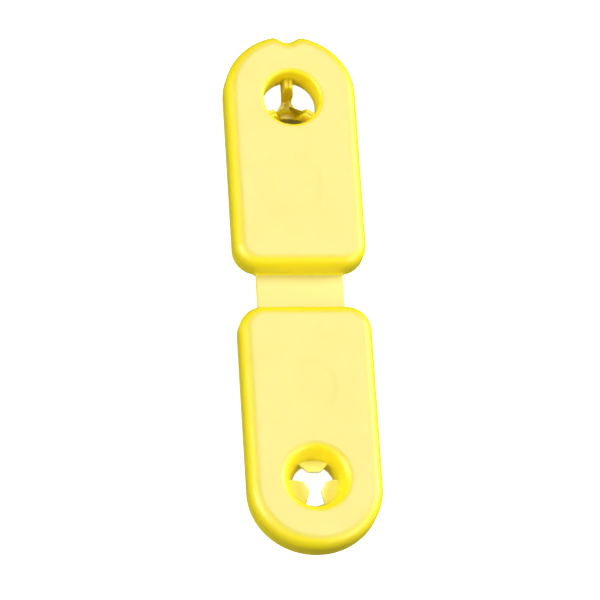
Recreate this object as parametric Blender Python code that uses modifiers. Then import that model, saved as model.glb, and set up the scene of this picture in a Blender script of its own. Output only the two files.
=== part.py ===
"""One-piece folding wire connector: two thick pods joined by a thin strap.

The socket pod has a funnel hole with three gripping petals. The stud pod has a hole with a three-finned stud,
which stands out of its back. Folding the strap back to back puts the stud into the socket hole from behind.
The real object is one moulding: each region that bends or grips is a solid of its own here.
Metres, +Z up. X runs across the pods, Y along them. The origin is under the strap, level with the stud's tip.
"""

import math

import bmesh
import bpy
from mathutils import Matrix

MM = 0.001

# Pods
POD_WIDTH = 25.0 * MM
POD_LENGTH = 47.4 * MM
POD_THICKNESS = 5.6 * MM
OUTER_END_DEPTH = 11.9 * MM
INNER_CORNER_RADIUS = 4.7 * MM
TOP_EDGE_RADIUS = 2.4 * MM
BACK_EDGE_RADIUS = 0.4 * MM
HOLE_FROM_OUTER_END = 13.4 * MM

# Strap between the pods, flush with their backs
STRAP_LENGTH = 7.7 * MM
STRAP_WIDTH = 16.5 * MM
STRAP_THICKNESS = 0.9 * MM
WEB_LENGTH = 1.3 * MM

# Holes: the socket is a plain cone, the stud's hole a straight bore that flares towards the top face
SOCKET_BORE_RADIUS = 3.9 * MM
SOCKET_RIM_RADIUS = 5.9 * MM
SOCKET_BORE_DEPTH = 0.0 * MM
SOCKET_FLARE_POWER = 1.0
STUD_BORE_RADIUS = 5.1 * MM
STUD_RIM_RADIUS = 5.7 * MM
STUD_BORE_DEPTH = 3.2 * MM
STUD_FLARE_POWER = 3.0

# Petals: three tongues that rise from the funnel's wall towards its axis
PETAL_COUNT = 3
PETAL_ROOT_RADIUS = 4.1 * MM
PETAL_ROOT_HALF_ANGLE = math.radians(38.0)
PETAL_TIP_RADIUS = 1.9 * MM
PETAL_TIP_WIDTH = 2.2 * MM
PETAL_THICKNESS = 0.8 * MM
PETAL_RISE = math.radians(24.0)
PETAL_HINGE_HEIGHT = 1.65 * MM
PETAL_HINGE_INSET = 0.3 * MM
PETAL_EDGE_RADIUS = 0.2 * MM

# Stud: three upright fins on a tapered hub, whose top lies below the pod's back
STUD_REACH = 4.2 * MM
FIN_THICKNESS = 1.5 * MM
FIN_SHOULDER_RADIUS = 3.2 * MM
FIN_TOP_HEIGHT = 2.5 * MM
FIN_FOOT_HEIGHT = 0.4 * MM
FIN_CREST_RADIUS = 3.4 * MM
FIN_CREST_FOOT_RADIUS = 2.4 * MM
HUB_TOP_RADIUS = 2.0 * MM
HUB_TIP_RADIUS = 1.3 * MM
HUB_DROP = 0.8 * MM

# Scallop in the stud pod's outer end, for a fingernail
NOTCH_WIDTH = 5.5 * MM
NOTCH_DEPTH = 1.0 * MM

FIT_GAP = 0.3 * MM
OVERCUT = 1.0 * MM
BACK_Z = STUD_REACH
FOLD_Z = BACK_Z + STRAP_THICKNESS / 2
POD_Y = STRAP_LENGTH / 2
HOLE_Y = POD_Y + POD_LENGTH - HOLE_FROM_OUTER_END
ARC_SEGMENTS = 16
HOLE_STEPS = 40

PALE_YELLOW = (0.93, 0.86, 0.24)
DEEP_YELLOW = (0.90, 0.80, 0.10)


def clear_scene():
    for scene_object in list(bpy.data.objects):
        bpy.data.objects.remove(scene_object, do_unlink=True)


def new_collection(name):
    collection = bpy.data.collections.new(name)
    bpy.context.scene.collection.children.link(collection)
    return collection


def plastic(name, colour):
    material = bpy.data.materials.new(name)
    material.use_nodes = True
    shader = material.node_tree.nodes["Principled BSDF"]
    shader.inputs["Base Color"].default_value = (*colour, 1.0)
    shader.inputs["Roughness"].default_value = 0.45
    shader.inputs["Metallic"].default_value = 0.0
    return material


def arc(centre_x, centre_y, radius_x, radius_y, start, end, segments=ARC_SEGMENTS):
    """Points on an elliptical arc, from the start angle to the end angle."""
    points = []
    for step in range(segments + 1):
        angle = start + (end - start) * step / segments
        points.append((centre_x + radius_x * math.cos(angle), centre_y + radius_y * math.sin(angle)))
    return points


def extruded_outline(name, outline, thickness):
    """A welded mesh of a flat closed outline in XY, extruded from z = 0 up to the thickness."""
    curve = bpy.data.curves.new(name, "CURVE")
    curve.dimensions = "2D"
    curve.fill_mode = "BOTH"
    curve.extrude = thickness / 2
    spline = curve.splines.new("POLY")
    spline.points.add(len(outline) - 1)
    for point, (x, y) in zip(spline.points, outline):
        point.co = (x, y, 0.0, 1.0)
    spline.use_cyclic_u = True
    guide = bpy.data.objects.new(name + "_outline", curve)
    bpy.context.scene.collection.objects.link(guide)
    bpy.context.view_layer.update()
    graph = bpy.context.evaluated_depsgraph_get()
    mesh = bpy.data.meshes.new_from_object(guide.evaluated_get(graph))
    bpy.data.objects.remove(guide, do_unlink=True)
    bpy.data.curves.remove(curve)
    weld_and_flatten(mesh, thickness / 2)
    return mesh


def weld_and_flatten(mesh, lift):
    """Joins the caps to the sides, merges each flat cap into one face and lifts the mesh."""
    work = bmesh.new()
    work.from_mesh(mesh)
    bmesh.ops.remove_doubles(work, verts=work.verts, dist=0.001 * MM)
    bmesh.ops.dissolve_limit(work, angle_limit=math.radians(0.2), verts=work.verts, edges=work.edges)
    bmesh.ops.translate(work, verts=work.verts, vec=(0.0, 0.0, lift))
    bmesh.ops.recalc_face_normals(work, faces=work.faces)
    work.to_mesh(mesh)
    work.free()


def round_level_edges(mesh, height, radius, segments):
    """Rounds the outline edges that lie at one height."""
    work = bmesh.new()
    work.from_mesh(mesh)
    edges = [edge for edge in work.edges if all(abs(v.co.z - height) < 0.01 * MM for v in edge.verts)]
    bmesh.ops.bevel(
        work,
        geom=edges,
        offset=radius,
        offset_type="OFFSET",
        segments=segments,
        profile=0.5,
        affect="EDGES",
        clamp_overlap=False,
    )
    work.to_mesh(mesh)
    work.free()


def new_part(name, mesh, material, collection):
    mesh.name = name
    part = bpy.data.objects.new(name, mesh)
    collection.objects.link(part)
    mesh.materials.clear()
    mesh.materials.append(material)
    mesh.shade_smooth()
    mesh.set_sharp_from_angle(angle=math.radians(35.0))
    return part


def new_cutter(name, mesh, collection):
    cutter = bpy.data.objects.new(name, mesh)
    collection.objects.link(cutter)
    cutter.hide_render = True
    cutter.display_type = "WIRE"
    return cutter


def turned_mesh_object(name, profile, collection):
    """A solid of revolution about Z from a profile that runs down its outer side."""
    mesh = bpy.data.meshes.new(name)
    edges = [(index, index + 1) for index in range(len(profile) - 1)]
    mesh.from_pydata([(radius, 0.0, z) for radius, z in profile], edges, [])
    turned = new_cutter(name, mesh, collection)
    screw = turned.modifiers.new("Turn", "SCREW")
    screw.steps = HOLE_STEPS
    screw.render_steps = HOLE_STEPS
    screw.use_merge_vertices = True
    screw.merge_threshold = 0.001 * MM
    return turned


def boolean(part, other, operation):
    modifier = part.modifiers.new(operation.title() + "_" + other.name, "BOOLEAN")
    modifier.operation = operation
    modifier.object = other
    modifier.solver = "EXACT"


def hole_cutter(name, bore_radius, rim_radius, bore_depth, power, collection):
    """Bore radius up to the bore depth, then a flare that grows by a power law up to the top face."""
    rise = POD_THICKNESS - bore_depth
    levels = 6
    profile = [(0.0, POD_THICKNESS + OVERCUT), (rim_radius, POD_THICKNESS + OVERCUT)]
    for step in range(levels, -1, -1):
        share = step / levels
        radius = bore_radius + (rim_radius - bore_radius) * share**power
        profile.append((radius, bore_depth + rise * share))
    profile += [(bore_radius, -OVERCUT), (0.0, -OVERCUT)]
    return turned_mesh_object(name, profile, collection)


def pod_mesh(name):
    """Flat-backed pod with its inner end at y = 0: round outer end, rounded inner corners, soft top edge."""
    half = POD_WIDTH / 2
    corner = INNER_CORNER_RADIUS
    end_y = POD_LENGTH - OUTER_END_DEPTH
    outline = arc(0.0, end_y, half, OUTER_END_DEPTH, 0.0, math.pi, 2 * ARC_SEGMENTS)
    outline += arc(corner - half, corner, corner, corner, math.pi, 1.5 * math.pi, ARC_SEGMENTS // 2)
    outline += arc(half - corner, corner, corner, corner, 1.5 * math.pi, 2 * math.pi, ARC_SEGMENTS // 2)
    mesh = extruded_outline(name, outline, POD_THICKNESS)
    round_level_edges(mesh, POD_THICKNESS, TOP_EDGE_RADIUS, 6)
    round_level_edges(mesh, 0.0, BACK_EDGE_RADIUS, 2)
    return mesh


def notch_cutter(collection):
    """Upright cylinder whose edge makes the scallop's width and depth in the outer end."""
    radius = (NOTCH_WIDTH**2 / 4 + NOTCH_DEPTH**2) / (2 * NOTCH_DEPTH)
    mesh = bpy.data.meshes.new("notch_cutter")
    work = bmesh.new()
    bmesh.ops.create_cone(
        work,
        cap_ends=True,
        segments=HOLE_STEPS,
        radius1=radius,
        radius2=radius,
        depth=POD_THICKNESS + 2 * OVERCUT,
        matrix=Matrix.Translation((0.0, 0.0, POD_THICKNESS / 2)),
    )
    work.to_mesh(mesh)
    work.free()
    shoulder_drop = OUTER_END_DEPTH * (1 - math.sqrt(1 - (NOTCH_WIDTH / POD_WIDTH) ** 2))
    cutter = new_cutter("notch_cutter", mesh, collection)
    cutter.location = (0.0, POD_LENGTH - shoulder_drop - NOTCH_DEPTH + radius, 0.0)
    return cutter


def place(part, holder, y, z, turn=0.0):
    """Puts a part at a place in the world and parents it to the empty on its body's joint axis."""
    part.location = (0.0, y - holder.location.y, z - holder.location.z)
    part.rotation_euler = (0.0, 0.0, turn)
    part.parent = holder


def new_holder(name, y, z, collection):
    holder = bpy.data.objects.new(name, None)
    holder.location = (0.0, y, z)
    holder.empty_display_size = 3.0 * MM
    collection.objects.link(holder)
    return holder


def make_pod(name, holder, hole, side, parts):
    """side is 1 for the pod at +Y and -1 for the pod at -Y, which is the same shape turned half round."""
    turn = 0.0 if side > 0 else math.pi
    pod = new_part(name, pod_mesh(name), plastic(name + "_plastic", PALE_YELLOW), parts)
    place(pod, holder, side * POD_Y, BACK_Z, turn)
    hole.location = (0.0, POD_LENGTH - HOLE_FROM_OUTER_END, 0.0)
    hole.parent = pod
    boolean(pod, hole, "DIFFERENCE")
    return pod


def make_strap_half(name, holder, side, parts):
    """Flat strip from near the pod's inner end to near the fold web."""
    inner = WEB_LENGTH / 2 + STRAP_THICKNESS / 2 + FIT_GAP
    outer = POD_Y - FIT_GAP
    work = bmesh.new()
    bmesh.ops.create_cube(work, size=1.0)
    size = (STRAP_WIDTH, outer - inner, STRAP_THICKNESS)
    bmesh.ops.scale(work, verts=work.verts, vec=size)
    mesh = bpy.data.meshes.new(name)
    work.to_mesh(mesh)
    work.free()
    strap = new_part(name, mesh, plastic(name + "_plastic", PALE_YELLOW), parts)
    place(strap, holder, side * (inner + outer) / 2, FOLD_Z)
    return strap


def make_fold_web(holder, parts):
    """Narrow link whose two rounded edges are centred on the two fold lines."""
    radius = STRAP_THICKNESS / 2
    half = WEB_LENGTH / 2
    outline = arc(0.0, half, radius, radius, 0.0, math.pi, ARC_SEGMENTS // 2)
    outline += arc(0.0, -half, radius, radius, math.pi, 2 * math.pi, ARC_SEGMENTS // 2)
    mesh = extruded_outline("fold_web", outline, STRAP_WIDTH)
    upright = Matrix.Translation((-STRAP_WIDTH / 2, 0.0, 0.0)) @ Matrix.Rotation(math.pi / 2, 4, "Y")
    mesh.transform(upright)
    web = new_part("fold_web", mesh, plastic("fold_web_plastic", PALE_YELLOW), parts)
    place(web, holder, 0.0, FOLD_Z)
    return web


def petal_mesh(name):
    """Tongue with its root towards +X, drawn about the funnel's axis and then moved to its hinge line."""
    angle = PETAL_ROOT_HALF_ANGLE
    root = arc(0.0, 0.0, PETAL_ROOT_RADIUS, PETAL_ROOT_RADIUS, -angle, angle, 10)
    tip = [(PETAL_TIP_RADIUS, PETAL_TIP_WIDTH / 2), (PETAL_TIP_RADIUS, -PETAL_TIP_WIDTH / 2)]
    mesh = extruded_outline(name, root + tip, PETAL_THICKNESS)
    round_level_edges(mesh, PETAL_THICKNESS, PETAL_EDGE_RADIUS, 2)
    round_level_edges(mesh, 0.0, PETAL_EDGE_RADIUS, 2)
    mesh.transform(Matrix.Translation((PETAL_HINGE_INSET - PETAL_ROOT_RADIUS, 0.0, -PETAL_THICKNESS / 2)))
    return mesh


def make_petals(parts):
    """Petals at 90, 210 and 330 degrees about the socket hole, each with its origin on its hinge line."""
    hinge_radius = PETAL_ROOT_RADIUS - PETAL_HINGE_INSET
    for index in range(PETAL_COUNT):
        name = f"gripping_petal_{index + 1}"
        angle = math.pi / 2 + index * 2 * math.pi / PETAL_COUNT
        petal = new_part(name, petal_mesh(name), plastic(name + "_plastic", DEEP_YELLOW), parts)
        petal.location = (
            hinge_radius * math.cos(angle),
            -HOLE_Y + hinge_radius * math.sin(angle),
            BACK_Z + PETAL_HINGE_HEIGHT,
        )
        petal.rotation_euler = (0.0, PETAL_RISE, angle)


def fin_mesh(name):
    """One fin in XZ from the axis out to +X: seated in the bore above the back, tapered to the tip below it."""
    seat = STUD_BORE_RADIUS - FIT_GAP
    outline = [
        (0.0, -HUB_DROP - FIT_GAP),
        (0.0, -STUD_REACH),
        (HUB_TIP_RADIUS, -STUD_REACH),
        (HUB_TIP_RADIUS + 0.5 * MM, -STUD_REACH + 0.3 * MM),
        (FIN_SHOULDER_RADIUS, -0.45 * STUD_REACH),
        (FIN_SHOULDER_RADIUS, FIN_FOOT_HEIGHT),
        (seat, FIN_FOOT_HEIGHT),
        (seat, FIN_TOP_HEIGHT),
        (FIN_CREST_RADIUS, FIN_TOP_HEIGHT),
        (FIN_CREST_FOOT_RADIUS, -HUB_DROP - FIT_GAP),
    ]
    mesh = extruded_outline(name, outline, FIN_THICKNESS)
    stand = Matrix.Rotation(math.pi / 2, 4, "X") @ Matrix.Translation((0.0, 0.0, -FIN_THICKNESS / 2))
    mesh.transform(stand)
    return mesh


def make_stud(holder, parts, cutters):
    """Tapered hub joined to three fins at 90, 210 and 330 degrees about the stud pod's bore."""
    hub = turned_mesh_object(
        "finned_stud",
        [
            (0.0, -HUB_DROP),
            (HUB_TOP_RADIUS, -HUB_DROP),
            (HUB_TIP_RADIUS, -STUD_REACH),
            (0.0, -STUD_REACH),
        ],
        parts,
    )
    hub.hide_render = False
    hub.display_type = "TEXTURED"
    hub.data.materials.append(plastic("finned_stud_plastic", DEEP_YELLOW))
    place(hub, holder, HOLE_Y, BACK_Z)
    for index in range(PETAL_COUNT):
        angle = math.pi / 2 + index * 2 * math.pi / PETAL_COUNT
        fin = new_cutter(f"fin_{index + 1}", fin_mesh(f"fin_{index + 1}"), cutters)
        fin.rotation_euler = (0.0, 0.0, angle)
        fin.parent = hub
        boolean(hub, fin, "UNION")
    return hub


def main():
    clear_scene()
    parts = new_collection("folding_wire_connector")
    cutters = new_collection("cutters")

    socket_half = new_holder("socket_half", 0.0, BACK_Z, parts)
    web_fold = new_holder("web_fold", -WEB_LENGTH / 2, FOLD_Z, parts)
    stud_fold = new_holder("stud_fold", WEB_LENGTH / 2, FOLD_Z, parts)

    socket_hole = hole_cutter(
        "socket_hole_cutter",
        SOCKET_BORE_RADIUS,
        SOCKET_RIM_RADIUS,
        SOCKET_BORE_DEPTH,
        SOCKET_FLARE_POWER,
        cutters,
    )
    stud_hole = hole_cutter(
        "stud_hole_cutter",
        STUD_BORE_RADIUS,
        STUD_RIM_RADIUS,
        STUD_BORE_DEPTH,
        STUD_FLARE_POWER,
        cutters,
    )

    make_pod("socket_pod", socket_half, socket_hole, -1, parts)
    stud_pod = make_pod("stud_pod", stud_fold, stud_hole, 1, parts)
    notch = notch_cutter(cutters)
    notch.parent = stud_pod
    boolean(stud_pod, notch, "DIFFERENCE")

    make_strap_half("socket_strap", socket_half, -1, parts)
    make_fold_web(web_fold, parts)
    make_strap_half("stud_strap", stud_fold, 1, parts)
    make_petals(parts)
    make_stud(stud_fold, parts, cutters)


main()
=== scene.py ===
"""Looks of a folding plastic wire connector: two thick pods on a thin strap.

Petals grip in one pod's hole, and a finned stud stands in the other's.

Metres, +Z up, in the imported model's frame: X runs across the pods, Y along them, Z out of their top faces.
Angles about a hole are measured from +X towards +Y.
"""

import math

import bpy
import numpy as np
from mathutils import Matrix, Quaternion, Vector


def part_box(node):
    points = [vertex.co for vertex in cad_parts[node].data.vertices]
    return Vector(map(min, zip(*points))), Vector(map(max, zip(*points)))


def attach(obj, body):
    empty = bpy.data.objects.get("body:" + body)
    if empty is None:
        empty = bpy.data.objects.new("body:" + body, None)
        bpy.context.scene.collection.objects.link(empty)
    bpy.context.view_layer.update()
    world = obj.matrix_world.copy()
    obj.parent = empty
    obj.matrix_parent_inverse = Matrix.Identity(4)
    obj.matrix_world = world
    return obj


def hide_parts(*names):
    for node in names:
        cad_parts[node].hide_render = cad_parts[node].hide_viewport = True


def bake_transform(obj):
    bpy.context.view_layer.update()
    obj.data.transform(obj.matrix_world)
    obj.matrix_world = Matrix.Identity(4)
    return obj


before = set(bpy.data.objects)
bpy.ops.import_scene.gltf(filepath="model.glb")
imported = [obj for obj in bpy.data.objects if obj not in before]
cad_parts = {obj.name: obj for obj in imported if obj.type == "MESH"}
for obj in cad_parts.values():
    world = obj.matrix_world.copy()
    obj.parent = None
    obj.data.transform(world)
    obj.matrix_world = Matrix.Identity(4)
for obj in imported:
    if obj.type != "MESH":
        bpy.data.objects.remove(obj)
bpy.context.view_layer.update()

bl_info = {
    "name": "Folding Wire Connector",
    "version": (1, 0, 0),
    "blender": (4, 5, 0),
    "location": "View3D > Sidebar > Connector",
    "description": "Builds the detailed surfaces of a folding plastic wire connector round its packed model",
    "category": "Add Mesh",
}

MM = 0.001
SOCKET_LOW, SOCKET_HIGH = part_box("socket_pod")
STUD_LOW, STUD_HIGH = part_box("stud_pod")
STRAP_LOW, STRAP_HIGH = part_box("fold_web")
TIP_LOW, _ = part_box("finned_stud")

BACK_Z = SOCKET_LOW.z
POD_WIDTH = SOCKET_HIGH.x - SOCKET_LOW.x
POD_LENGTH = SOCKET_HIGH.y - SOCKET_LOW.y
POD_THICKNESS = SOCKET_HIGH.z - SOCKET_LOW.z
POD_Y = STUD_LOW.y
STRAP_WIDTH = STRAP_HIGH.x - STRAP_LOW.x
STRAP_THICKNESS = STRAP_HIGH.z - STRAP_LOW.z
STUD_REACH = BACK_Z - TIP_LOW.z
THIRD = 2 * math.pi / 3
PETAL_COUNT = 3

# patterns in the plastic
FLOW_SIZE = 9 * MM
GRIT_SIZE = 0.5 * MM

# soft edge of the round mark, and where the scallop starts and how far it takes to reach its depth
MARK_EDGE = 1.2 * MM
SCALLOP_START = 6.5 * MM
SCALLOP_GROWTH = 4.0 * MM

# distances from a hole's axis: the petals' roots and where they bend, and the fins' ends in the wall
PETAL_ROOT = 4.8 * MM
FIN_SEAT = 5.3 * MM

# length of the fillet between a fin and the hub
FIN_FILLET = 1.6 * MM

# how far the strap runs on inside a pod, and the angle above which its edges stay sharp
STRAP_OVERLAP = 0.9 * MM
STRAP_SHARP_ANGLE = math.radians(50)

# stage, in metres
FLOOR_REACH = 1.5
LIGHT_DISTANCE = 1.2
LIGHT_SIZE = 0.75


def linear(code):
    """Linear red, green and blue of an sRGB hex colour.

    Each channel c becomes ((c + 0.055) / 1.055) ** 2.4, or c / 12.92 up to 0.04045.
    """
    channels = np.array([int(code[start : start + 2], 16) for start in (1, 3, 5)]) / 255
    return tuple(np.where(channels <= 0.04045, channels / 12.92, ((channels + 0.055) / 1.055) ** 2.4))


def length_property(name, description, default):
    return bpy.props.FloatProperty(
        name=name, description=description, default=default, min=0.0, unit="LENGTH", precision=5
    )


def colour_property(name, description, code):
    return bpy.props.FloatVectorProperty(
        name=name, description=description, default=linear(code), min=0.0, max=1.0, subtype="COLOR"
    )


class PodSettings(bpy.types.PropertyGroup):
    outer_end_depth: length_property("Outer end", "How far the rounded outer end reaches", 11.9 * MM)
    inner_corner: length_property("Inner corners", "Radius of the two corners beside the strap", 4.7 * MM)
    top_edge: length_property("Top edge", "Radius of the soft edge round the top face", 2.4 * MM)
    back_edge: length_property("Back edge", "Radius of the edge round the back face", 0.35 * MM)
    hole_from_end: length_property("Hole", "From the outer end to the hole's centre", 13.4 * MM)
    mark_radius: length_property("Mark radius", "Radius of the shallow round mark on the top face", 5.3 * MM)
    mark_depth: length_property("Mark depth", "Depth of the shallow round mark", 0.09 * MM)
    mark_from_hole: length_property("Mark", "From the hole's centre to the mark's", 17.7 * MM)
    notch_half_width: length_property(
        "Scallop half width", "From the scallop's middle to its shoulder", 3.1 * MM
    )
    notch_depth: length_property(
        "Scallop depth", "Depth of the fingernail scallop in the outer end", 1.35 * MM
    )


class HoleSettings(bpy.types.PropertyGroup):
    socket_back: length_property("Funnel, back", "Radius of the funnel hole at the back face", 3.85 * MM)
    socket_rim: length_property("Funnel, rim", "Radius at which the funnel meets the top face", 5.8 * MM)
    socket_lip: length_property("Funnel lip", "Radius of the funnel's soft lip", 1.9 * MM)
    stud_back: length_property("Stud hole, back", "Radius of the stud's hole at the back face", 5.1 * MM)
    stud_rim: length_property(
        "Stud hole, rim", "Radius at which the stud's hole meets the top face", 5.3 * MM
    )
    stud_lip: length_property("Stud hole lip", "Radius of the lip of the stud's hole", 1.0 * MM)


class PetalSettings(bpy.types.PropertyGroup):
    thickness: length_property("Thickness", "Thickness of a petal, measured upright", 0.8 * MM)
    tip_height: length_property("Height", "From the back face up to the top of a petal's tip", 2.9 * MM)
    tip_radius: length_property("Tips", "From the hole's axis to a petal's tip", 1.85 * MM)
    tip_width: length_property("Tip width", "Width of a petal's straight tip", 2.2 * MM)
    edge: length_property("Edge", "Radius of a petal's edges", 0.14 * MM)
    corner: length_property("Corner", "Radius of the corners of a petal's tip", 0.7 * MM)
    rise: bpy.props.FloatProperty(
        name="Rise",
        description="How steeply a petal rises to its tip",
        default=math.radians(24),
        subtype="ANGLE",
    )
    flare: bpy.props.FloatProperty(
        name="Flare",
        description="Angle between a petal's side and its middle",
        default=math.radians(44),
        subtype="ANGLE",
    )


class StudSettings(bpy.types.PropertyGroup):
    crest_height: length_property("Fin height", "From the back face up to a fin's crest", 2.5 * MM)
    crest_inner: length_property(
        "Crest", "From the axis to where a fin's crest has fallen to the hub", 1.0 * MM
    )
    crest_outer: length_property("Crest end", "From the axis to where a fin's crest is level", 3.3 * MM)
    hub_drop: length_property("Hub", "From the back face down to the top of the hub", 1.0 * MM)
    shoulder: length_property("Shoulder", "From the axis to a fin's edge just below the back face", 3.2 * MM)
    edge: length_property("Edge", "Radius of the edges of the crests", 0.3 * MM)


class StrapSettings(bpy.types.PropertyGroup):
    edge: length_property("Edge", "Radius of the strap's four long edges", 0.22 * MM)
    fillet: length_property("Fillet", "Radius where the strap runs into a pod", 0.5 * MM)
    bend: length_property("Bend", "How far each side of the middle the strap bends", 2.2 * MM)


class FinishSettings(bpy.types.PropertyGroup):
    light_tone: colour_property(
        "Light tone", "Lighter of the two yellows that drift over the plastic", "#F9E60A"
    )
    deep_tone: colour_property(
        "Deep tone", "Deeper of the two yellows that drift over the plastic", "#F6DF00"
    )
    # Petal tones: the plastic's yellow made paler as painted light on the petals' tops and against the shade
    # in the funnel
    petal_painted_light_tone: colour_property("Petals", "Lighter yellow of the thin petals", "#FBF084")
    petal_painted_light_deep_tone: colour_property("Petals, deeper", "Deeper yellow of the thin petals", "#F6E970")
    # Stud tone: the plastic's yellow pushed as bright as a base colour allows, painted light against the
    # shade deep in the hole
    stud_painted_light_tone: colour_property("Stud", "Lighter yellow of the stud", "#FFE40C")
    # The two pale-skin tones are a painted sheen: paler, bluer yellows for skin that faces up, standing in
    # for the overhead light's reflection
    painted_sheen_tone: colour_property("Pale skin", "Lighter yellow of the skin that faces up", "#DDD06C")
    painted_sheen_deep_tone: colour_property("Pale skin, deeper", "Deeper yellow of the skin that faces up", "#D6C95C")


class StageSettings(bpy.types.PropertyGroup):
    azimuth: bpy.props.FloatProperty(
        name="Azimuth",
        description="Camera's turn about Z from -Y",
        default=math.radians(-24.03),
        subtype="ANGLE",
    )
    elevation: bpy.props.FloatProperty(
        name="Elevation",
        description="Camera's height above the level",
        default=math.radians(66.88),
        subtype="ANGLE",
    )
    roll: bpy.props.FloatProperty(
        name="Roll",
        description="Camera's turn about its own view",
        default=math.radians(22.10),
        subtype="ANGLE",
    )
    distance: length_property("Distance", "From the middle of the strap to the camera", 849.3 * MM)
    drop: length_property("Aim", "How far below the middle of the strap the camera aims", 1.0 * MM)
    lens: bpy.props.FloatProperty(
        name="Lens", description="Focal length in millimetres", default=272.8, min=1.0
    )
    floor_tone: colour_property("Floor", "Colour of the pale floor", "#FBFBFB")


# Mesh helpers


def grid_object(name, points, capped):
    """Mesh of a grid of points: rows by columns by three, one quad to a cell.

    Columns always close round. Rows close round too, unless capped: then each end row closes on its middle.
    Faces are turned outwards, by the sign of the sum of their volumes towards the middle of the vertices.
    """
    rows, columns, _ = points.shape
    index = np.arange(rows * columns).reshape(rows, columns)
    right = np.roll(index, -1, axis=1)
    if capped:
        quads = np.stack([index[:-1], right[:-1], right[1:], index[1:]], axis=-1).reshape(-1, 4)
        low, high = rows * columns, rows * columns + 1
        vertices = np.vstack([points.reshape(-1, 3), points[0].mean(axis=0), points[-1].mean(axis=0)])
        low_fan = np.stack([np.full(columns, low), right[0], index[0]], axis=-1)
        high_fan = np.stack([np.full(columns, high), index[-1], right[-1]], axis=-1)
        fans = np.vstack([low_fan, high_fan])
    else:
        up, up_right = np.roll(index, -1, axis=0), np.roll(right, -1, axis=0)
        quads = np.stack([index, right, up_right, up], axis=-1).reshape(-1, 4)
        vertices = points.reshape(-1, 3)
        fans = np.empty((0, 3), int)
    triangles = np.vstack([quads[:, [0, 1, 2]], quads[:, [0, 2, 3]], fans])
    if np.linalg.det(vertices[triangles] - vertices.mean(axis=0)).sum() < 0:
        quads, fans = quads[:, ::-1], fans[:, ::-1]
    mesh = bpy.data.meshes.new(name)
    mesh.vertices.add(len(vertices))
    mesh.vertices.foreach_set("co", vertices.astype(np.float32).ravel())
    corners = np.concatenate([quads.ravel(), fans.ravel()]).astype(np.int32)
    mesh.loops.add(len(corners))
    mesh.loops.foreach_set("vertex_index", corners)
    starts = np.concatenate([np.arange(len(quads)) * 4, len(quads) * 4 + np.arange(len(fans)) * 3])
    mesh.polygons.add(len(starts))
    mesh.polygons.foreach_set("loop_start", starts.astype(np.int32))
    mesh.update(calc_edges=True)
    mesh.validate()
    mesh.shade_smooth()
    piece = bpy.data.objects.new(name, mesh)
    bpy.context.scene.collection.objects.link(piece)
    return piece


def rounded_path(corners, radii, steps):
    """Straight runs between corners, with an arc of the given radius in place of each inner corner.

    The arc starts r * tan(turn / 2) before the corner and ends as far after it. Its points are the start
    point turned about the arc's centre by equal shares of the turn.
    """
    corners = np.asarray(corners, float)
    runs = [corners[:1]]
    for corner, before, after, radius in zip(corners[1:-1], corners[:-2], corners[2:], radii):
        enter = (corner - before) / np.linalg.norm(corner - before)
        leave = (after - corner) / np.linalg.norm(after - corner)
        side = math.copysign(1.0, enter[0] * leave[1] - enter[1] * leave[0])
        turn = math.acos(np.clip(enter @ leave, -1.0, 1.0))
        inward = side * np.array([-enter[1], enter[0]])
        start = corner - enter * radius * math.tan(turn / 2)
        angle = side * turn * np.linspace(0.0, 1.0, steps)[:, None]
        spoke = -inward * radius
        across = np.array([-spoke[1], spoke[0]])
        runs.append(start + inward * radius + spoke * np.cos(angle) + across * np.sin(angle))
    runs.append(corners[-1:])
    return np.vstack(runs)


def even_loop(path, count):
    """Closed path resampled to points an equal distance apart along it, with its outward unit normals."""
    closed = np.vstack([path, path[:1]])
    travel = np.concatenate([[0.0], np.cumsum(np.linalg.norm(np.diff(closed, axis=0), axis=1))])
    at = np.linspace(0.0, travel[-1], count, endpoint=False)
    loop = np.stack([np.interp(at, travel, closed[:, axis]) for axis in (0, 1)], axis=1)
    along = np.roll(loop, -1, axis=0) - np.roll(loop, 1, axis=0)
    along /= np.linalg.norm(along, axis=1, keepdims=True)
    return loop, np.stack([along[:, 1], -along[:, 0]], axis=1)


def ease(value):
    """Smooth step: 3 t^2 - 2 t^3 of the value held between 0 and 1."""
    t = np.clip(value, 0.0, 1.0)
    return t * t * (3 - 2 * t)


def finish_piece(piece, material):
    piece.data.materials.append(material)


# Materials


def add_node(tree, kind, settings, links):
    """Adds a node, sets its own attributes and sockets by name, and links other nodes' outputs into it."""
    node = tree.nodes.new(kind)
    for name, value in settings.items():
        if name in node.inputs:
            node.inputs[name].default_value = value
        else:
            setattr(node, name, value)
    for name, output in links.items():
        tree.links.new(output, node.inputs[name])
    return node


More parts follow.
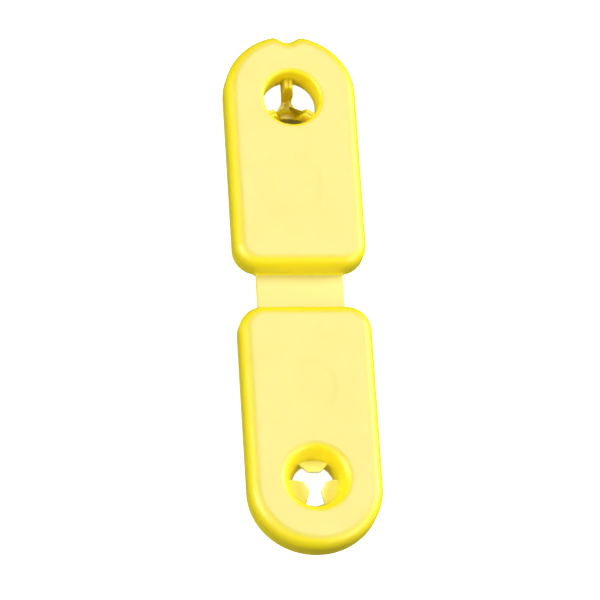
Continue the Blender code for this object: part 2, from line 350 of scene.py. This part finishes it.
def moulded_polypropylene(name, skin, painted_sheen_skin, cloudiness):
    """Polypropylene from a fine spark-eroded mould: a satin skin over slightly cloudy, saturated plastic.

    The cloudiness is a little subsurface light. The flow of the melt leaves tones that drift over about 9 mm,
    and the eroded steel leaves a grit of about 0.25 mm, drawn at twice its size so that it shows. Skin that
    faces straight up is painted paler than skin that faces sideways: the paler tones are a painted sheen,
    standing in for the overhead light's reflection, and are mixed in by the normal's height.
    Skin and painted_sheen_skin are each a lighter and a deeper tone.
    """
    material = bpy.data.materials.new(name)
    material.use_nodes = True
    tree = material.node_tree
    shader = tree.nodes["Principled BSDF"]
    shader.inputs["IOR"].default_value = 1.49
    shader.inputs["Metallic"].default_value = 0.0
    shader.inputs["Specular IOR Level"].default_value = 0.85
    shader.inputs["Subsurface Weight"].default_value = cloudiness
    shader.inputs["Subsurface Radius"].default_value = (1.0, 0.72, 0.10)
    shader.inputs["Subsurface Scale"].default_value = 1.2 * MM
    place = add_node(tree, "ShaderNodeTexCoord", {}, {})
    upright = add_node(tree, "ShaderNodeSeparateXYZ", {}, {"Vector": place.outputs["Normal"]})
    # Mask of the painted sheen: how nearly the normal points straight up
    painted_sheen_mask = add_node(
        tree,
        "ShaderNodeMapRange",
        {"interpolation_type": "LINEAR", "From Min": 0.86, "From Max": 1.0},
        {"Value": upright.outputs["Z"]},
    )
    flow = add_node(
        tree,
        "ShaderNodeTexNoise",
        {"Scale": 1 / FLOW_SIZE, "Detail": 2.0, "Roughness": 0.5},
        {"Vector": place.outputs["Object"]},
    )
    # The first pair of tones is the plastic's own skin, and the second pair is the painted sheen
    skin_and_painted_sheen = []
    for lighter, deeper in (skin, painted_sheen_skin):
        drift = add_node(tree, "ShaderNodeValToRGB", {}, {"Fac": flow.outputs["Fac"]})
        drift.color_ramp.elements[0].color = (*lighter, 1.0)
        drift.color_ramp.elements[1].color = (*deeper, 1.0)
        skin_and_painted_sheen.append(drift.outputs["Color"])
    colour = add_node(
        tree,
        "ShaderNodeMixRGB",
        {},
        {"Fac": painted_sheen_mask.outputs["Result"], "Color1": skin_and_painted_sheen[0], "Color2": skin_and_painted_sheen[1]},
    )
    tree.links.new(colour.outputs["Color"], shader.inputs["Base Color"])
    grit = add_node(
        tree,
        "ShaderNodeTexNoise",
        {"Scale": 1 / GRIT_SIZE, "Detail": 3.0, "Roughness": 0.6},
        {"Vector": place.outputs["Object"]},
    )
    satin = add_node(
        tree,
        "ShaderNodeMapRange",
        {"To Min": 0.35, "To Max": 0.45},
        {"Value": grit.outputs["Fac"]},
    )
    tree.links.new(satin.outputs["Result"], shader.inputs["Roughness"])
    bump = add_node(
        tree,
        "ShaderNodeBump",
        {"Strength": 0.25, "Distance": 0.01 * MM},
        {"Height": grit.outputs["Fac"]},
    )
    tree.links.new(bump.outputs["Normal"], shader.inputs["Normal"])
    return material


# Pods


def pod_outline(settings, count):
    """Outline of a pod with its inner end on y = 0.

    It has straight sides, a half ellipse at the outer end and round inner corners.
    """
    half = POD_WIDTH / 2
    corner = settings.inner_corner
    shoulder = POD_LENGTH - settings.outer_end_depth
    quarter = np.linspace(-math.pi / 2, 0.0, 24)
    right = np.stack([half - corner + corner * np.cos(quarter), corner + corner * np.sin(quarter)], axis=1)
    sweep = np.linspace(0.0, math.pi, 240)
    outer = np.stack([half * np.cos(sweep), shoulder + settings.outer_end_depth * np.sin(sweep)], axis=1)
    left = right[::-1] * (-1, 1)
    return even_loop(np.vstack([[(0.0, 0.0)], right, outer, left]), count)


def pod_points(settings, hole_profile, count):
    """Grid of a pod: columns go round its outline, rows go once round its section.

    A row's point is (1 - t) * (hole's centre + r * unit vector) + t * (outline - inset * outward normal). The
    rows run up the hole's profile, over the top face, round the top edge, down the side and back under to the
    hole.
    """
    outline, outward = pod_outline(settings, count)
    centre = np.array([0.0, POD_LENGTH - settings.hole_from_end])
    top, back = settings.top_edge, settings.back_edge
    spokes = outline - top * outward - centre
    spokes /= np.linalg.norm(spokes, axis=1, keepdims=True)
    turn = np.linspace(0.0, math.pi / 2, 15)
    rim = hole_profile[-1, 0]
    foot = hole_profile[0, 0]
    sections = [
        # share of the way from hole to outline, radius about the hole, inset from the outline, height
        (0 * hole_profile[:, 0], hole_profile[:, 0], 0 * hole_profile[:, 0], hole_profile[:, 1]),
        (np.linspace(0.0, 1.0, 46)[1:-1], rim, top, POD_THICKNESS),
        (1.0, rim, top * (1 - np.sin(turn)), POD_THICKNESS - top * (1 - np.cos(turn))),
        (1.0, rim, 0.0, np.linspace(POD_THICKNESS - top, back, 9)[1:-1]),
        (1.0, foot, back * (1 - np.cos(turn[::2])), back * (1 - np.sin(turn[::2]))),
        (np.linspace(1.0, 0.0, 26)[1:-1], foot, back, 0.0),
    ]
    rows = np.hstack([np.stack(np.broadcast_arrays(*section)) for section in sections])
    share, radius, inset, height = rows[:, :, None, None]
    flat = (1 - share) * (centre + radius * spokes) + share * (outline - inset * outward)
    return np.concatenate([flat, np.broadcast_to(height, (*flat.shape[:2], 1))], axis=2)


def sink_mark(points, settings):
    """Lowers the top face in a round dish: depth times a smooth step of the distance inside its edge."""
    y = POD_LENGTH - settings.hole_from_end - settings.mark_from_hole
    inside = settings.mark_radius - np.hypot(points[..., 0], points[..., 1] - y)
    on_top = points[..., 2] > POD_THICKNESS - 0.01 * MM
    points[..., 2] -= settings.mark_depth * ease(inside / MARK_EDGE) * on_top


def scallop(points, settings):
    """Pushes the outer end in by depth * cos^2(90 degrees * x / half width).

    It grows by a smooth step from nothing, 6.5 mm from the end, to all of it, 2.5 mm from the end.
    """
    across = np.clip(points[..., 0] / settings.notch_half_width, -1.0, 1.0)
    near_end = ease((points[..., 1] - POD_LENGTH + SCALLOP_START) / SCALLOP_GROWTH)
    points[..., 1] -= settings.notch_depth * np.cos(across * math.pi / 2) ** 2 * near_end


def hole_wall(back_radius, rim_radius, lip, foot=0.2 * MM):
    """Profile of a hole, radius and height, from its back edge to where the lip meets the top face."""
    corners = [
        (back_radius + 2 * foot, 0.0),
        (back_radius, 0.0),
        (rim_radius, POD_THICKNESS),
        (rim_radius + lip, POD_THICKNESS),
    ]
    path = rounded_path(corners, [foot, lip], 14)
    rise = np.linspace(0.0, 1.0, 22)[1:-1, None]
    wall = path[14] + (path[15] - path[14]) * rise
    return np.vstack([path[:15], wall, path[15:]])


class CONNECTOR_OT_make_pods(bpy.types.Operator):
    """Make the socket pod and the stud pod"""

    bl_idname = "connector.make_pods"
    bl_label = "Make Pods"

    def execute(self, context):
        scene = context.scene
        pods, holes, finish = scene.connector_pods, scene.connector_holes, scene.connector_finish
        # The second pair of tones is a painted sheen on skin that faces up
        skin, painted_sheen_skin = (finish.light_tone, finish.deep_tone), (finish.painted_sheen_tone, finish.painted_sheen_deep_tone)
        material = moulded_polypropylene("moulded_polypropylene_pods", skin, painted_sheen_skin, 0.5)
        socket_wall = hole_wall(holes.socket_back, holes.socket_rim, holes.socket_lip)
        socket = pod_points(pods, socket_wall, 480)
        sink_mark(socket, pods)
        socket = socket * (-1, -1, 1) + (0.0, -POD_Y, BACK_Z)
        piece = grid_object("socket_pod_shell", socket, capped=False)
        finish_piece(piece, material)
        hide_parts("socket_pod")
        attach(piece, "socket_half")

        stud_wall = hole_wall(holes.stud_back, holes.stud_rim, holes.stud_lip)
        stud = pod_points(pods, stud_wall, 480)
        sink_mark(stud, pods)
        scallop(stud, pods)
        piece = grid_object("stud_pod_shell", stud + (0.0, POD_Y, BACK_Z), capped=False)
        finish_piece(piece, material)
        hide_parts("stud_pod")
        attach(piece, "stud_half")
        return {"FINISHED"}


# Petals


def slab_points(outline, outward, low, high, edge):
    """Grid of a flat slab with rounded edges.

    Columns go round the outline, and rows go from the underside's middle to the top's.
    On the flats a row's point is middle + share * (inset outline - middle). On an edge the inset is
    r * (1 - cos a) and the height moves by r * (1 - sin a).
    """
    middle = outline.mean(axis=0)
    turn = np.linspace(0.0, math.pi / 2, 7)
    shares = np.linspace(0.08, 1.0, 9)[:-1]
    sections = [
        (shares, edge, low),
        (1.0, edge * (1 - np.sin(turn)), low + edge * (1 - np.cos(turn))),
        (1.0, edge * (1 - np.cos(turn)), high - edge * (1 - np.sin(turn))),
        (shares[::-1], edge, high),
    ]
    rows = np.hstack([np.stack(np.broadcast_arrays(*section)) for section in sections])
    share, inset, height = rows[:, :, None, None]
    flat = middle + share * (outline - inset * outward - middle)
    return np.concatenate([flat, np.broadcast_to(height, (*flat.shape[:2], 1))], axis=2)


def petal_outline(settings, root_radius):
    """Tongue pointing at the origin from +X: a straight tip, and sides that flare to a root in the wall."""
    tip_x, tip_y = settings.tip_radius, settings.tip_width / 2
    root_y = tip_y + (root_radius - tip_x) * math.tan(settings.flare)
    corners = [
        (root_radius, 0.0),
        (root_radius, root_y),
        (tip_x, tip_y),
        (tip_x, -tip_y),
        (root_radius, -root_y),
        (root_radius, 0.0),
    ]
    path = rounded_path(corners, [settings.corner] * 4, 8)
    return even_loop(path[:-1], 140)


def petal_points(settings, root_radius):
    """Slab of the petal's outline, sheared so that it rises to its tip: z gains (tip x - x) * tan(rise)."""
    outline, outward = petal_outline(settings, root_radius)
    top = settings.tip_height
    points = slab_points(outline, outward, top - settings.thickness, top, settings.edge)
    points[..., 2] += (settings.tip_radius - points[..., 0]) * math.tan(settings.rise)
    return points


class CONNECTOR_OT_make_petals(bpy.types.Operator):
    """Make the three gripping petals of the funnel hole"""

    bl_idname = "connector.make_petals"
    bl_label = "Make Petals"

    def execute(self, context):
        scene = context.scene
        petals, pods, finish = scene.connector_petals, scene.connector_pods, scene.connector_finish
        # The petal tones are paler than the pods' as painted light: they stand in for the light on the
        # petals' tops and lift the funnel's shade
        skin = (finish.petal_painted_light_tone, finish.petal_painted_light_deep_tone)
        material = moulded_polypropylene("moulded_polypropylene_petals", skin, skin, 0.3)
        hole_y = -POD_Y - POD_LENGTH + pods.hole_from_end
        flat = petal_points(petals, PETAL_ROOT)
        for index in range(PETAL_COUNT):
            angle = math.pi / 2 + index * THIRD
            turned = flat + (0.0, 0.0, BACK_Z)
            turned[..., 0] = flat[..., 0] * math.cos(angle) - flat[..., 1] * math.sin(angle)
            turned[..., 1] = hole_y + flat[..., 0] * math.sin(angle) + flat[..., 1] * math.cos(angle)
            piece = grid_object(f"petal_tongue_{index + 1}", turned, capped=True)
            finish_piece(piece, material)
            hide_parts(f"gripping_petal_{index + 1}")
            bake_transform(piece)
        return {"FINISHED"}


# Stud


def stud_points(settings):
    """Grid of the three-finned stud about the origin, with the back face at z = 0.

    Columns go round a three-armed star: out along one side of a fin, round its end and back along the other.
    Two fins meet at the hub's radius g, midway between them, so half a fin's thickness is g sin 60 there, at
    g / 2 along it. It falls to the fin's own half thickness w, as w + (g sin 60 - w) * (1 - t) ^ 2, where t
    is the share of the fillet's length that is past.
    Rows go up from the tip to the crests, over their rounded edges and in to the fins' middle lines.
    """
    along = np.linspace(0.0, 1.0, 30)
    turn = np.linspace(0.0, math.pi, 9)[1:-1]
    reach = np.tile(np.concatenate([along, np.ones(len(turn)), along[::-1]]), PETAL_COUNT)
    side = np.tile(np.concatenate([-np.ones(len(along)), -np.cos(turn), np.ones(len(along))]), PETAL_COUNT)
    bulge = np.tile(np.concatenate([0 * along, np.sin(turn), 0 * along]), PETAL_COUNT)
    angle = np.repeat(math.pi / 2 + THIRD * np.arange(PETAL_COUNT), len(reach) // PETAL_COUNT)

    crest, drop, edge = settings.crest_height, settings.hub_drop, settings.edge
    foot = -drop - 3 * edge
    # rows below the foot: height above the tip and fin length
    lower = np.array([(0.0, 1.30), (0.05, 1.55), (0.18, 1.75), (0.5, 2.0), (1.2, 2.5), (1.9, 3.1)]) * MM
    # rows above it: share of the way up to the crest and fin length
    upper = np.array(
        [(0.0, settings.shoulder), (0.25, settings.shoulder), (0.40, settings.shoulder), (0.41, FIN_SEAT)]
        + [(share, FIN_SEAT) for share in np.linspace(0.45, 1.0, 8)]
    )
    rounding = np.linspace(0.0, math.pi / 2, 7)[1:]
    length = np.concatenate([lower[:, 1], upper[:, 1], np.full(len(rounding) + 2, FIN_SEAT)])[:, None]

    # the crest along a fin: low at the hub, level from the crest's end outwards
    level = drop + crest
    rise = ease((length * reach - settings.crest_inner) / (settings.crest_outer - settings.crest_inner))
    top = -drop + level * rise
    rows = len(lower)
    z = np.empty_like(top)
    z[:rows] = lower[:, :1] - STUD_REACH
    body = slice(rows, rows + len(upper))
    z[body] = foot + upper[:, :1] * (top[body] - edge - foot)
    z[rows + len(upper) : -2] = top[-1] - edge * (1 - np.sin(rounding[:, None]))
    z[-2:] = top[-1]

    # at these heights from the back face: the hub's radius, and half a fin's thickness at its waist
    heights = np.array([-STUD_REACH, -STUD_REACH + 0.3 * MM, -2.0 * MM, -1.2 * MM, 0.0, crest])
    hub = np.interp(z, heights, np.array([1.15, 1.40, 1.60, 1.70, 2.10, 1.50]) * MM)
    waist = np.interp(z, heights, np.array([0.50, 0.65, 0.78, 0.85, 1.15, 0.78]) * MM)
    along_fin = hub / 2 + (length - hub / 2) * reach
    fillet = 1 - np.clip((along_fin - hub / 2) / FIN_FILLET, 0.0, 1.0)
    half = waist + (hub * math.sin(math.pi / 3) - waist) * fillet**2
    inset = np.zeros(len(length))
    inset[rows + len(upper) : -2] = edge * (1 - np.cos(rounding))
    narrow = np.ones(len(length))
    narrow[-2:] = 0.5, 0.0
    inset[-2] = edge
    offset = (half - inset[:, None]) * narrow[:, None] * side
    outward = along_fin + half * bulge * 0.5
    x = outward * np.cos(angle) - offset * np.sin(angle)
    y = outward * np.sin(angle) + offset * np.cos(angle)
    return np.stack([x, y, z], axis=2)


class CONNECTOR_OT_make_stud(bpy.types.Operator):
    """Make the three-finned stud"""

    bl_idname = "connector.make_stud"
    bl_label = "Make Stud"

    def execute(self, context):
        scene = context.scene
        stud, pods, finish = scene.connector_stud, scene.connector_pods, scene.connector_finish
        # The stud's lighter tone is its own yellow raised as painted light, to offset the shade deep in the
        # hole
        skin = (finish.stud_painted_light_tone, finish.deep_tone)
        material = moulded_polypropylene("moulded_polypropylene_stud", skin, skin, 0.5)
        hole_y = POD_Y + POD_LENGTH - pods.hole_from_end
        points = stud_points(stud) + (0.0, hole_y, BACK_Z)
        piece = grid_object("finned_stud_body", points, capped=True)
        finish_piece(piece, material)
        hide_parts("finned_stud")
        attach(piece, "stud_half")
        return {"FINISHED"}


# Strap


def strap_half_points(settings, reach):
    """Grid of one half of the strap, from inside a pod to the middle: a rounded section carried along Y.

    Within the fillet's radius of the pod the top rises and the sides widen by r - sqrt(r^2 - (r - s)^2),
    where s is the distance left to the pod.
    """
    half, edge = STRAP_WIDTH / 2, settings.edge
    corners = [
        (0.0, 0.0),
        (half, 0.0),
        (half, STRAP_THICKNESS),
        (-half, STRAP_THICKNESS),
        (-half, 0.0),
        (0.0, 0.0),
    ]
    section, _ = even_loop(rounded_path(corners, [edge] * 4, 8)[:-1], 280)
    y = np.concatenate([np.linspace(0.0, POD_Y - 0.05 * MM, 60), [POD_Y + 0.2 * MM, POD_Y + reach]])
    gap = np.clip(POD_Y - y, 0.0, settings.fillet)
    rise = settings.fillet - np.sqrt(settings.fillet**2 - (settings.fillet - gap) ** 2)
    share_up = section[:, 1] / STRAP_THICKNESS
    at_side = np.abs(section[:, 0]) > half - 1.01 * edge
    x = section[None, :, 0] + np.sign(section[None, :, 0]) * rise[:, None] * at_side
    z = section[None, :, 1] + rise[:, None] * share_up
    return np.stack([x, np.broadcast_to(y[:, None], x.shape), z], axis=2)


class CONNECTOR_OT_make_strap(bpy.types.Operator):
    """Make the two halves of the folding strap"""

    bl_idname = "connector.make_strap"
    bl_label = "Make Strap"

    def execute(self, context):
        scene = context.scene
        strap, finish = scene.connector_strap, scene.connector_finish
        # The second pair of tones is a painted sheen on skin that faces up
        skin, painted_sheen_skin = (finish.light_tone, finish.deep_tone), (finish.painted_sheen_tone, finish.painted_sheen_deep_tone)
        material = moulded_polypropylene("moulded_polypropylene_strap", skin, painted_sheen_skin, 0.0)
        points = strap_half_points(strap, STRAP_OVERLAP)
        piece = grid_object("strap_stud_side", points + (0.0, 0.0, BACK_Z), capped=True)
        piece.data.set_sharp_from_angle(angle=STRAP_SHARP_ANGLE)
        finish_piece(piece, material)
        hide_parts("stud_strap")
        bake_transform(piece)

        turned = points * (-1, -1, 1) + (0.0, 0.0, BACK_Z)
        piece = grid_object("strap_socket_side", turned, capped=True)
        piece.data.set_sharp_from_angle(angle=STRAP_SHARP_ANGLE)
        finish_piece(piece, material)
        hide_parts("socket_strap", "fold_web")
        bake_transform(piece)
        return {"FINISHED"}


# Stage


def area_light(name, direction, power, target):
    light = bpy.data.lights.new(name, "AREA")
    light.shape = "RECTANGLE"
    light.size, light.size_y = LIGHT_SIZE, LIGHT_SIZE
    light.energy = power
    lamp = bpy.data.objects.new(name, light)
    toward = Vector(direction).normalized()
    lamp.location = target + toward * LIGHT_DISTANCE
    lamp.rotation_mode = "QUATERNION"
    lamp.rotation_quaternion = toward.to_track_quat("Z", "Y")
    bpy.context.scene.collection.objects.link(lamp)


class CONNECTOR_OT_make_stage(bpy.types.Operator):
    """Make the floor, the soft studio light and the camera"""

    bl_idname = "connector.make_stage"
    bl_label = "Make Stage"

    def execute(self, context):
        scene = context.scene
        stage = scene.connector_stage
        target = Vector((0.0, 0.0, BACK_Z))

        mesh = bpy.data.meshes.new("studio_floor")
        corners = [(-1, -1), (1, -1), (1, 1), (-1, 1)]
        mesh.from_pydata([(x * FLOOR_REACH, y * FLOOR_REACH, 0) for x, y in corners], [], [(0, 1, 2, 3)])
        floor = bpy.data.objects.new("studio_floor", mesh)
        paper = bpy.data.materials.new("matt_paper_floor")
        paper.use_nodes = True
        shader = paper.node_tree.nodes["Principled BSDF"]
        shader.inputs["Base Color"].default_value = (*stage.floor_tone, 1.0)
        shader.inputs["Roughness"].default_value = 0.9
        shader.inputs["Specular IOR Level"].default_value = 0.1
        shader.inputs["Emission Color"].default_value = (*stage.floor_tone, 1.0)
        shader.inputs["Emission Strength"].default_value = 0.85
        mesh.materials.append(paper)
        scene.collection.objects.link(floor)
        # the floor glows for the camera only, so it is evenly pale and neither lights nor shades the plastic
        floor.visible_diffuse = False
        floor.visible_glossy = False

        scene.world = bpy.data.worlds.new("studio")
        scene.world.use_nodes = True
        surround = scene.world.node_tree.nodes["Background"]
        surround.inputs["Color"].default_value = (1.0, 1.0, 1.0, 1.0)
        surround.inputs["Strength"].default_value = 0.10
        area_light("softbox_over", (0.16, 0.36, 0.92), 7.0, target)
        area_light("softbox_right", (0.88, 0.25, 0.40), 11.0, target)
        area_light("softbox_left", (-0.88, -0.05, 0.47), 11.0, target)
        area_light("softbox_front_right", (0.66, -0.56, 0.50), 6.0, target)
        area_light("softbox_front_left", (-0.62, -0.60, 0.50), 2.0, target)

        eye = Vector(
            (
                math.sin(stage.azimuth) * math.cos(stage.elevation),
                -math.cos(stage.azimuth) * math.cos(stage.elevation),
                math.sin(stage.elevation),
            )
        )
        lens = bpy.data.cameras.new("camera")
        lens.sensor_width = 36.0
        lens.lens = stage.lens
        lens.clip_start, lens.clip_end = 0.01, 10.0
        camera = bpy.data.objects.new("camera", lens)
        turned = (-eye).to_track_quat("-Z", "Y") @ Quaternion((0.0, 0.0, 1.0), stage.roll)
        camera.rotation_mode = "QUATERNION"
        camera.rotation_quaternion = turned
        camera.location = target + eye * stage.distance - turned @ Vector((0.0, 1.0, 0.0)) * stage.drop
        scene.collection.objects.link(camera)
        scene.camera = camera
        scene.view_settings.view_transform = "Standard"
        return {"FINISHED"}


class VIEW3D_PT_connector(bpy.types.Panel):
    """Sizes, colours and the steps that build the connector"""

    bl_label = "Folding Wire Connector"
    bl_space_type = "VIEW_3D"
    bl_region_type = "UI"
    bl_category = "Connector"

    def draw(self, context):
        for operator, _ in STEPS:
            self.layout.operator(operator.bl_idname)
        for group, attribute in SETTINGS:
            column = self.layout.column(align=True)
            for name in group.__annotations__:
                column.prop(getattr(context.scene, attribute), name)


SETTINGS = (
    (PodSettings, "connector_pods"),
    (HoleSettings, "connector_holes"),
    (PetalSettings, "connector_petals"),
    (StudSettings, "connector_stud"),
    (StrapSettings, "connector_strap"),
    (FinishSettings, "connector_finish"),
    (StageSettings, "connector_stage"),
)
STEPS = (
    (CONNECTOR_OT_make_pods, bpy.ops.connector.make_pods),
    (CONNECTOR_OT_make_petals, bpy.ops.connector.make_petals),
    (CONNECTOR_OT_make_stud, bpy.ops.connector.make_stud),
    (CONNECTOR_OT_make_strap, bpy.ops.connector.make_strap),
    (CONNECTOR_OT_make_stage, bpy.ops.connector.make_stage),
)


def register():
    for group, attribute in SETTINGS:
        bpy.utils.register_class(group)
        setattr(bpy.types.Scene, attribute, bpy.props.PointerProperty(type=group))
    for operator, _ in STEPS:
        bpy.utils.register_class(operator)
    bpy.utils.register_class(VIEW3D_PT_connector)


def unregister():
    bpy.utils.unregister_class(VIEW3D_PT_connector)
    for operator, _ in reversed(STEPS):
        bpy.utils.unregister_class(operator)
    for group, attribute in reversed(SETTINGS):
        delattr(bpy.types.Scene, attribute)
        bpy.utils.unregister_class(group)


def main():
    register()
    for _, run in STEPS:
        run()


if __name__ == "__main__":
    main()
